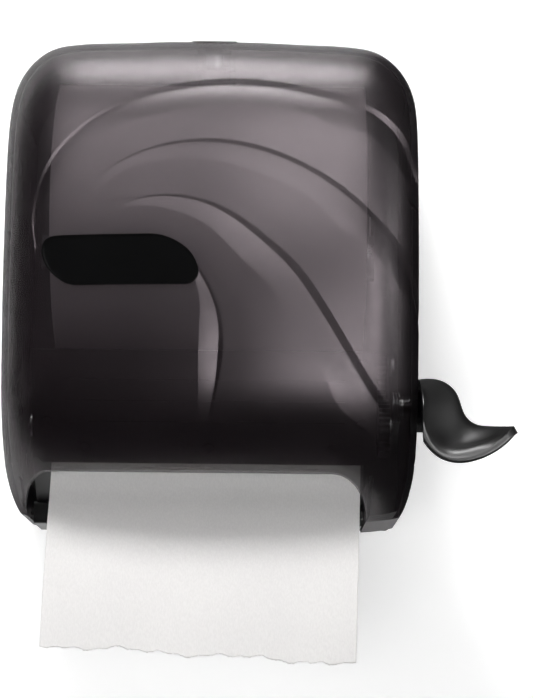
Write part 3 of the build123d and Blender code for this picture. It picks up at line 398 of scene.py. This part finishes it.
WEB_CLEAR = 0.2
WEB_STRAIGHT = (0, 0.3, 0.6, 0.85)
WEB_BEND_STEPS = 6
WEB_STEPS = 60


def make_web():
    """The web runs straight from the roll to the guide rod and turns down over the rod's front."""
    gap = PAPER + WEB_CLEAR
    on_roll, on_rod = ROLL_RADIUS + gap, ROD_RADIUS + gap
    dy, dz = ROD_Y - ROLL_Y, ROD_Z - ROLL_Z
    lean = math.atan2(dz, dy) + math.acos((on_roll + on_rod) / math.hypot(dy, dz))
    start = (ROLL_Y + on_roll * math.cos(lean), ROLL_Z + on_roll * math.sin(lean))
    bend = lean + math.pi
    touch = (ROD_Y + on_rod * math.cos(bend), ROD_Z + on_rod * math.sin(bend))
    path = [tuple(a + (b - a) * k for a, b in zip(start, touch)) for k in WEB_STRAIGHT]
    for i in range(WEB_BEND_STEPS + 1):
        angle = bend + (math.pi - bend) * i / WEB_BEND_STEPS
        path.append((ROD_Y + on_rod * math.cos(angle), ROD_Z + on_rod * math.sin(angle)))
    line, length = smooth_path(path, WEB_STEPS)
    across = [TOWEL_LEFT + TOWEL_WIDTH * c / WEB_STEPS for c in range(WEB_STEPS + 1)]
    rows = [[(x * MM, y * MM, z * MM) for x in across] for y, z in line]
    piece = add_piece("web_sheet", sheet_mesh("web_sheet", rows, PAPER * MM), "base",
                      finishes["towel"], "towel_web")


# The roll's bore clears the core. Its ends ripple from ring to ring, between a softened bore and rim
BORE_RADIUS = round_bar("roll_core")[2] + 0.02
BORE_ROUND, BORE_DEPTH = 0.6, 0.4
RIM_ROUND, RIM_SHOULDER = 0.7, (0.35, 0.15)
END_RINGS, END_RIPPLE, END_MARGIN = 46, 0.18, 1.4
ROLL_STEPS_ROUND, ROLL_STEPS_ALONG = 160, 12
# The roll sags slightly out of round, in three lobes that fade towards the core
LOBES, LOBE_START, LOBE_SIZE, LOBE_FADE = 3, 0.4, 0.0012, 4


def make_roll():
    end = [(BORE_RADIUS, BORE_DEPTH), (BORE_RADIUS + BORE_ROUND, 0.0)]
    for i in range(1, END_RINGS):
        radius = BORE_RADIUS + BORE_ROUND + (ROLL_RADIUS - END_MARGIN - BORE_RADIUS) * i / END_RINGS
        end.append((radius, END_RIPPLE * (i % 2)))
    end += [(ROLL_RADIUS - RIM_SHOULDER[0], RIM_SHOULDER[1]), (ROLL_RADIUS, RIM_ROUND)]
    along = [RIM_ROUND + (TOWEL_WIDTH - 2 * RIM_ROUND) * k / ROLL_STEPS_ALONG
             for k in range(1, ROLL_STEPS_ALONG)]
    loop = end + [(ROLL_RADIUS, x) for x in along] + [(r, TOWEL_WIDTH - x) for r, x in reversed(end)]
    count = len(loop)
    verts, faces = [], []
    for t in range(ROLL_STEPS_ROUND):
        angle = 2 * math.pi * t / ROLL_STEPS_ROUND
        lobe = LOBE_SIZE * (1 + math.sin(LOBES * angle + LOBE_START))
        for radius, x in loop:
            r = radius * (1 - lobe * (radius / ROLL_RADIUS) ** LOBE_FADE)
            y, z = ROLL_Y + r * math.cos(angle), ROLL_Z + r * math.sin(angle)
            verts.append(((TOWEL_LEFT + x) * MM, y * MM, z * MM))
        n = (t + 1) % ROLL_STEPS_ROUND
        for i in range(count):
            j = (i + 1) % count
            faces.append((t * count + i, t * count + j, n * count + j, n * count + i))
    add_piece("wound_roll", closed_mesh("wound_roll", verts, faces), "towel_roll", roll_paper,
              "towel_roll")


make_tail()
make_web()
make_roll()


# Stage: a pale wall that is seen only from the front, a pale floor, a far wall behind the camera for
# the views from behind, and soft light
def stage_plane(name, corners, material):
    mesh_data = bpy.data.meshes.new(name)
    mesh_data.from_pydata(corners, [], [(0, 1, 2, 3)])
    mesh_data.materials.append(material)
    plane = bpy.data.objects.new(name, mesh_data)
    scene.collection.objects.link(plane)
    return plane


def upright(name, y, left, right, low, high, material):
    corners = [(left, y, low), (right, y, low), (right, y, high), (left, y, high)]
    return stage_plane(name, corners, material)


def level(name, z, left, right, front, back, material):
    corners = [(left, front, z), (right, front, z), (right, back, z), (left, back, z)]
    return stage_plane(name, corners, material)


def math_node(material, operation, first, second):
    """The result of an operation on two sockets, clamped to 0 to 1."""
    node = material.node_tree.nodes.new("ShaderNodeMath")
    node.operation = operation
    node.use_clamp = True
    material.node_tree.links.new(first, node.inputs[0])
    material.node_tree.links.new(second, node.inputs[1])
    return node.outputs["Value"]


def mix_shaders(material, factor, first, second):
    node = material.node_tree.nodes.new("ShaderNodeMixShader")
    for socket, output in zip(node.inputs, (factor, first, second)):
        material.node_tree.links.new(output, socket)
    return node.outputs["Shader"]


def stage_material(name, grey, glow):
    """Matt backdrop that is lit by the lamps and glows for what sees it, so that it stays pale."""
    material = bpy.data.materials.new(name)
    material.use_nodes = True
    nodes, links = material.node_tree.nodes, material.node_tree.links
    surface = nodes["Principled BSDF"]
    surface.inputs["Base Color"].default_value = (grey, grey, grey, 1)
    surface.inputs["Roughness"].default_value = 0.9
    surface.inputs["Specular IOR Level"].default_value = 0.0
    surface.inputs["Emission Color"].default_value = (1, 1, 1, 1)
    rays = nodes.new("ShaderNodeLightPath").outputs
    seen = rays["Is Camera Ray"]
    for kind in ("Is Glossy Ray", "Is Transmission Ray"):
        seen = math_node(material, "MAXIMUM", seen, rays[kind])
    strength = nodes.new("ShaderNodeMath")
    strength.operation = "MULTIPLY"
    links.new(seen, strength.inputs[0])
    strength.inputs[1].default_value = glow
    links.new(strength.outputs["Value"], surface.inputs["Emission Strength"])
    return material


def wall_material():
    """Wall paint, with painted shade where the camera sees it through the cover: a dark diffuse stands in
    for the light that the cover's sides, thick seen edge on, soak up. The camera looks through the wall from
    behind."""
    material = stage_material("wall", grey=0.8, glow=0.52)
    nodes, links = material.node_tree.nodes, material.node_tree.links
    rays = nodes.new("ShaderNodeLightPath").outputs
    # Painted shade: near-black where the camera ray has passed through the cover, for the light that the
    # cover soaks up
    painted_shade = nodes.new("ShaderNodeBsdfDiffuse")
    painted_shade.inputs["Color"].default_value = (0.02, 0.018, 0.02, 1)
    through_cover = math_node(material, "MULTIPLY", rays["Transparent Depth"], rays["Is Camera Ray"])
    front = mix_shaders(material, through_cover, nodes["Principled BSDF"].outputs["BSDF"],
                        painted_shade.outputs["BSDF"])
    clear = nodes.new("ShaderNodeBsdfTransparent").outputs["BSDF"]
    from_behind = nodes.new("ShaderNodeNewGeometry").outputs["Backfacing"]
    both = mix_shaders(material, from_behind, front, clear)
    links.new(both, nodes["Material Output"].inputs["Surface"])
    return material


WALL = 0.001
FLOOR = -1.2
FAR_WALL = -5
floor_paint = stage_material("floor", grey=0.75, glow=0.55)
far_paint = stage_material("far_wall", grey=0.8, glow=0.9)
upright("wall", WALL, left=-5, right=5, low=FLOOR, high=4, material=wall_material())
level("floor", FLOOR, left=-14, right=14, front=-6, back=8, material=floor_paint)
far_wall = upright("far_wall", FAR_WALL, left=-14, right=14, low=FLOOR, high=8, material=far_paint)
far_wall.visible_glossy = False
far_wall.visible_diffuse = False

WORLD_LIGHT = 0.06
world = bpy.data.worlds.new("world")
scene.world = world
world.use_nodes = True
world.node_tree.nodes["Background"].inputs["Color"].default_value = (1, 1, 1, 1)
world.node_tree.nodes["Background"].inputs["Strength"].default_value = WORLD_LIGHT


def softbox(name, place, aim, size, watts):
    lamp = bpy.data.lights.new(name, "AREA")
    lamp.shape = "RECTANGLE"
    lamp.size, lamp.size_y = size
    lamp.energy = watts
    item = bpy.data.objects.new(name, lamp)
    scene.collection.objects.link(item)
    item.location = place
    item.rotation_mode = "QUATERNION"
    item.rotation_quaternion = (Vector(aim) - Vector(place)).to_track_quat("-Z", "Y")
    return item


# The key and the fill light the matt surfaces and cast the shadow; the sheens are seen in gloss alone
key = softbox("key", (-0.33, -1.64, 1.81), aim=(0, -0.1, 0), size=(0.6, 0.6), watts=50)
fill = softbox("fill", (-0.3, -2.0, -0.5), aim=(0, -0.1, 0), size=(0.8, 0.8), watts=13)
for lamp in (key, fill):
    lamp.visible_glossy = False
sheens = [
    softbox("top", (0.0, -0.22, 1.3), aim=(0, -0.15, 0.1), size=(1.0, 0.5), watts=32),
    softbox("sheen", (0.635, -1.67, 1.06), aim=(0, -0.1, 0), size=(1.1, 1.1), watts=44),
    softbox("left_sheen", (-0.6, -1.55, 1.15), aim=(0, -0.1, 0), size=(1.1, 0.9), watts=20),
    softbox("low_sheen", (0.87, -1.79, -0.4), aim=(0, -0.15, 0), size=(0.7, 0.5), watts=28),
    softbox("right_sheen", (1.45, -1.3, 0.05), aim=(0, -0.15, 0), size=(0.6, 0.9), watts=24),
    softbox("side_sheen", (1.9, -0.5, 0.3), aim=(0, -0.2, 0), size=(0.7, 0.5), watts=9),
]
for lamp in sheens:
    lamp.visible_diffuse = False

# Black flags beside and below the part darken the reflections in its rounded sides and foot; only gloss
# sees them
FLAG_Y = -0.03
FLAG_Z = -0.7
black_paint = stage_material("flag", grey=0.0, glow=0.0)
flags = [
    upright("flag_right", FLAG_Y, left=0.14, right=1.4, low=-1, high=1, material=black_paint),
    upright("flag_left", FLAG_Y, left=-1.4, right=-0.5, low=-1, high=1, material=black_paint),
    level("flag_low", FLAG_Z, left=-2.5, right=2.5, front=-4, back=-0.02, material=black_paint),
]
for flag in flags:
    flag.visible_camera = False
    flag.visible_diffuse = False
    flag.visible_shadow = False
    flag.visible_transmission = False

scene.view_settings.view_transform = "Standard"
